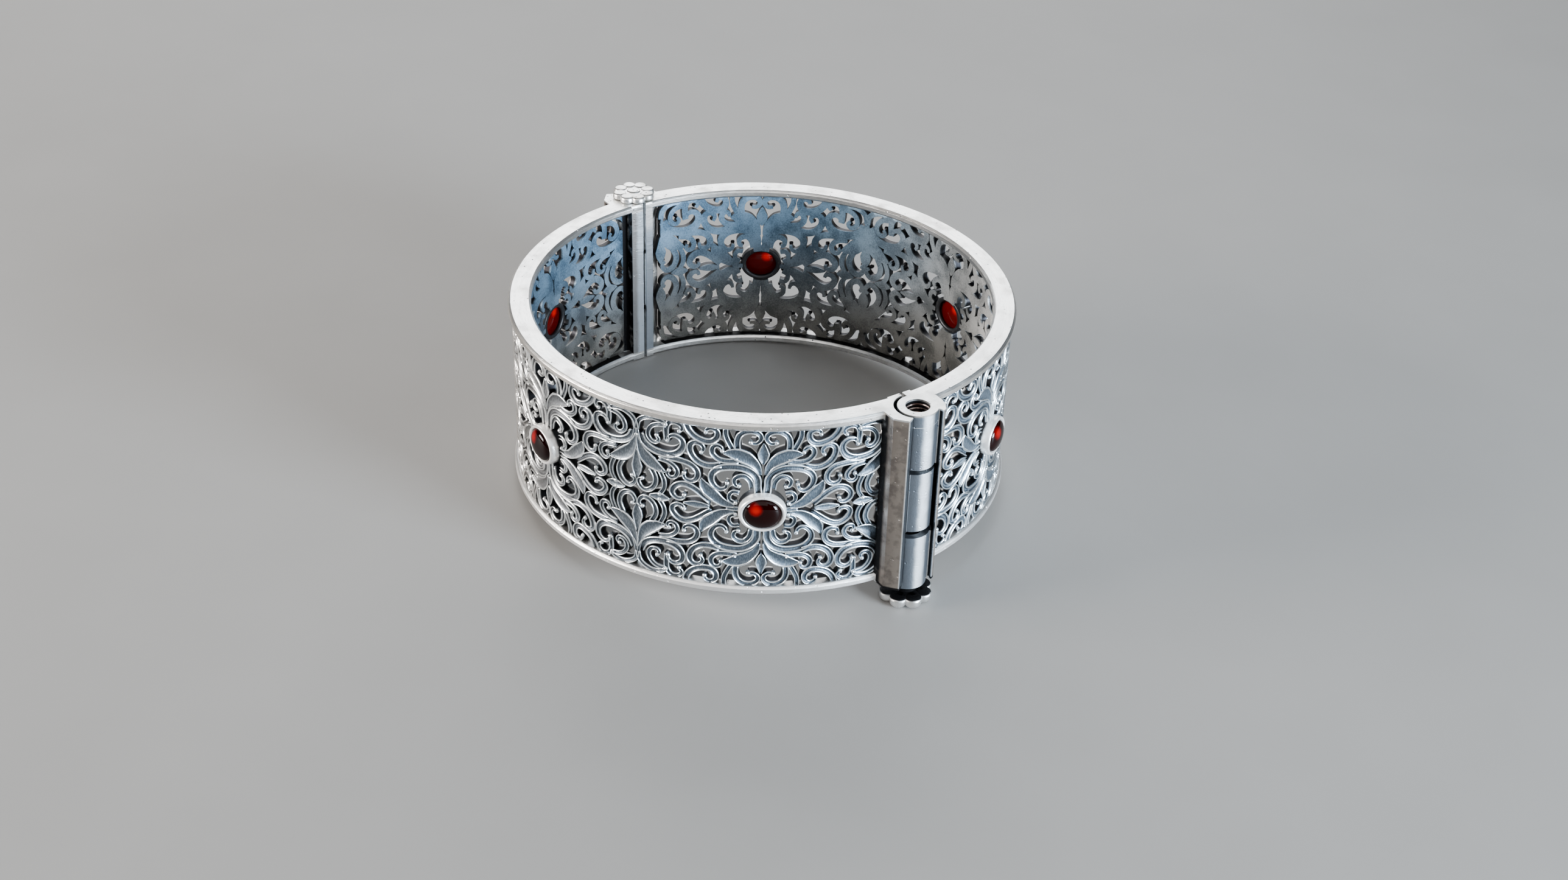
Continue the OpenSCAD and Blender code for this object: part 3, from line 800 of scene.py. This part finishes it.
# The hinge's screw: a plain silver shank, put in from above through the three knuckles, under a cast flower
# head of eight pillow-shaped petals about a low round heart.
SHANK_R = 1.45
PETALS = 8
FLOWER_TURN = Matrix.Rotation(radians(10), 4, "Z")
# Shares of the flower's radius, of its height and of a part's own radius at its foot
PETAL_R, PETAL_H, PETAL_EDGE, PETAL_TOP = 0.35, 0.94, 0.3, 0.82
HEART_R, HEART_TOP = 0.45, 0.62
DISC_H = 0.8
# How far the rims of the heart, and of the plain round parts, are rounded over
HEART_EDGE = 0.22
ROUND_EDGE = 0.1


def pillow(mesh, place, radius, top_radius, height, edge):
    """A round piece standing on its place, with both rims rounded over."""
    made = bmesh.ops.create_cone(mesh, cap_ends=True, segments=32, radius1=radius, radius2=top_radius,
                                 depth=height, matrix=place @ Matrix.Translation((0, 0, height / 2)))
    rims = {rim for corner in made["verts"] for rim in corner.link_edges
            if any(len(face.verts) > 4 for face in rim.link_faces)}
    bmesh.ops.bevel(mesh, geom=list(rims), affect="EDGES", offset=edge, segments=4, profile=0.5, material=-1)


def flower_screw(name, node, place, radius, head_h, shank_from, shank_to):
    """A flower head that opens upwards from its place, with its shank between two heights over it."""
    mesh = bmesh.new()
    petal_r = radius * PETAL_R
    heart_r = radius * HEART_R
    pillow(mesh, Matrix.Identity(4), radius - petal_r, radius - petal_r, head_h * DISC_H, ROUND_EDGE)
    for i in range(PETALS):
        turn = Matrix.Rotation(2 * pi * (i + 0.5) / PETALS, 4, "Z")
        petal = turn @ Matrix.Translation((radius - petal_r, 0, 0))
        pillow(mesh, petal, petal_r, petal_r * PETAL_TOP, head_h * PETAL_H, head_h * PETAL_EDGE)
    pillow(mesh, Matrix.Identity(4), heart_r, heart_r * HEART_TOP, head_h, HEART_EDGE)
    shank = Matrix.Translation((0, 0, shank_from))
    pillow(mesh, shank, SHANK_R, SHANK_R, shank_to - shank_from, ROUND_EDGE)
    mesh.transform(place @ Matrix.Scale(MM, 4))
    bmesh.ops.recalc_face_normals(mesh, faces=mesh.faces)
    screw = cast_piece(name, mesh)
    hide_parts(node)
    return screw


# The height of the clasp's flower, and how far from a screw's axis the painted shade under a head fades out
CLASP_HEAD_H = 1.45
BLACK_FADE = (3.25, 3.5)


def screw_finish(name, screw_x, tarnish):
    """Worn silver, with the shank, the neck and the head's inner face painted black for shade."""
    made = worn_silver(name, tarnish)
    x, y, z = (made.place.part(axis) for axis in "XYZ")
    between_heads = z.band(CLASP_HEAD_H - 0.3, CLASP_HEAD_H - 0.07) - z.band(RING_TOP, RING_TOP + 0.04)
    # Painted shade: black where the head meets the ring and round the neck
    made.film((1 - from_axis(x - screw_x, y).band(*BLACK_FADE)) * between_heads, SHADE_AND_SOOT, 0.3)
    return made


HINGE_FLOWER_R = 3.03
HINGE_HEAD_H = 0.9
HEAD_GAP = 0.05
SHANK_END = RING_LOW + 1.1
hinge_place = Matrix.Translation((HINGE * MM, 0, (RING_TOP + HEAD_GAP) * MM)) @ FLOWER_TURN
hinge_flower = flower_screw("hinge_flower", "hinge_screw", hinge_place, HINGE_FLOWER_R, HINGE_HEAD_H,
                            shank_from=SHANK_END - RING_TOP, shank_to=0.4)
dress(hinge_flower, screw_finish("hinge_screw_silver", HINGE, 1.3))
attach(hinge_flower, "front_half")

# The clasp's screw, put in from below: the same cast flower, thicker and upside down, on a short bare neck.
# It is unscrewed to open the bangle.
CLASP_FLOWER_R = 3.53
CLASP_SHANK_L = 8.5
upside_down = Matrix.Rotation(pi, 4, "X")
clasp_place = Matrix.Translation((CLASP * MM, 0, CLASP_HEAD_H * MM)) @ FLOWER_TURN @ upside_down
clasp_flower = flower_screw("clasp_flower", "clasp_screw", clasp_place, CLASP_FLOWER_R, CLASP_HEAD_H,
                            shank_from=-CLASP_SHANK_L, shank_to=0.6)
dress(clasp_flower, screw_finish("clasp_screw_silver", CLASP, 0.3))
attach(clasp_flower, "clasp_pin")

# The thread cut in the clasp's top knuckle, seen in its open upper end: a low ridge that winds down the
# hole for the screw's end. It is rubbed brown by use.
THREAD_PITCH = 0.55
THREAD_TURNS = 9
THREAD_STEPS = 28
THREAD_FOOT_R = 1.56
THREAD_CREST_R = 1.37
THREAD_DEPTH = 0.25
THREAD_TONE = (0.10, 0.06, 0.05)
THREAD_RUBBED = (0.45, 0.36, 0.32)
mesh = bmesh.new()
ridge = ((THREAD_FOOT_R, 0), (THREAD_CREST_R, -THREAD_PITCH / 2), (THREAD_FOOT_R, -THREAD_PITCH))
top = RING_TOP - THREAD_DEPTH
start = mesh.faces.new([mesh.verts.new((CLASP + out, 0, top + down)) for out, down in ridge])
turned = bmesh.ops.spin(
    mesh, geom=[*start.verts, *start.edges], cent=(CLASP, 0, 0), axis=(0, 0, 1),
    dvec=(0, 0, -THREAD_PITCH / THREAD_STEPS), angle=2 * pi * THREAD_TURNS, steps=THREAD_STEPS * THREAD_TURNS)
bmesh.ops.contextual_create(mesh, geom=edges_in(turned["geom_last"]))
bmesh.ops.recalc_face_normals(mesh, faces=mesh.faces)
mesh.transform(Matrix.Scale(MM, 4))
thread = cast_piece("clasp_thread", mesh)
thread_silver = Finish("thread_silver", Metallic=1.0, Roughness=0.4)
rubbed = thread_silver.noise(1.5, 2.0).band(0.35, 0.65)
thread_silver.wire("Base Color", thread_silver.mix(rubbed, THREAD_TONE, THREAD_RUBBED))
dress(thread, thread_silver)
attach(thread, "back_half")

# The studio: a pale matt table that the bangle leans on, with its far rim and the clasp's flower down. Wide
# window light falls from behind and a small brighter window from the right, with lamps at left and in front.
TABLE_HALF_L = 1.5
TABLE_TONES = ((0.19, 0.184, 0.175), (0.215, 0.208, 0.199))
TABLE_GAP = 0.03
FAR_RIM_X = -32.4
FLOWER_FOOT_X = 33.4
FAR_RIM = Vector((FAR_RIM_X, 0, RING_LOW - TABLE_GAP)) * MM
LEAN = atan2(FAR_RIM.z, -FAR_RIM.x + FLOWER_FOOT_X * MM)
table_mesh = bmesh.new()
bmesh.ops.create_grid(table_mesh, x_segments=1, y_segments=1, size=TABLE_HALF_L)
table_mesh.transform(Matrix.Translation(FAR_RIM) @ Matrix.Rotation(LEAN, 4, "Y"))
table = cast_piece("table", table_mesh)
table_top = Finish("table_top", Roughness=0.6)
table_top.wire("Base Color", table_top.mix(table_top.noise(0.05, 3.0), *TABLE_TONES))
table.data.materials.append(table_top.material)


def softbox(name, turn, height, reach, size, power, colour):
    """A rectangular light that faces the ring, by its angle round it, height and distance in metres."""
    lamp = bpy.data.lights.new(name, "AREA")
    lamp.shape = "RECTANGLE"
    lamp.size, lamp.size_y = size
    lamp.energy = power
    lamp.color = colour
    holder = bpy.data.objects.new(name, lamp)
    spot = Vector((reach * cos(radians(turn)), reach * sin(radians(turn)), height))
    holder.matrix_world = Matrix.Translation(spot) @ (-spot).to_track_quat("-Z", "Y").to_matrix().to_4x4()
    bpy.context.scene.collection.objects.link(holder)


softbox("window_back", 150, 0.42, 0.7, (0.8, 0.5), 7.0, (0.97, 0.985, 1.0))
softbox("window_right", 22, 0.11, 0.55, (0.2, 0.18), 15.0, (0.76, 0.88, 1.0))
softbox("sky_right", 20, 0.42, 0.42, (0.35, 0.3), 0.8, (0.76, 0.88, 1.0))
softbox("lamp_left", -112, 0.17, 0.48, (0.25, 0.12), 6.0, (1.0, 0.95, 0.9))
softbox("lamp_front", -42, 0.42, 0.42, (0.6, 0.5), 1.4, (1.0, 0.98, 0.96))
world = bpy.data.worlds.new("studio")
world.use_nodes = True
room = world.node_tree.nodes["Background"]
room.inputs["Color"].default_value = (0.72, 0.73, 0.75, 1)
room.inputs["Strength"].default_value = 0.07
bpy.context.scene.world = world

# The camera stands where the photo's did, as the four round lines of the rims give it: how far it is turned
# about the ring, raised and rolled, and where it lies from the middle of the ring's top in its own axes.
VIEW_TURN = radians(55)
VIEW_HEIGHT = radians(32.3)
VIEW_ROLL = radians(1.85)
VIEW_PLACE = Vector((2.7, -19.1, 273.3)) * MM
camera = bpy.data.cameras.new("camera")
camera.lens = 48.9
camera.sensor_width = 36
camera.clip_start = 0.01
camera_holder = bpy.data.objects.new("camera", camera)
camera_holder.matrix_world = (
    Matrix.Translation((0, 0, RING_TOP * MM)) @ Matrix.Rotation(VIEW_TURN, 4, "Z")
    @ Matrix.Rotation(pi / 2 - VIEW_HEIGHT, 4, "X") @ Matrix.Rotation(VIEW_ROLL, 4, "Z")
    @ Matrix.Translation(VIEW_PLACE))
bpy.context.scene.collection.objects.link(camera_holder)
bpy.context.scene.camera = camera_holder
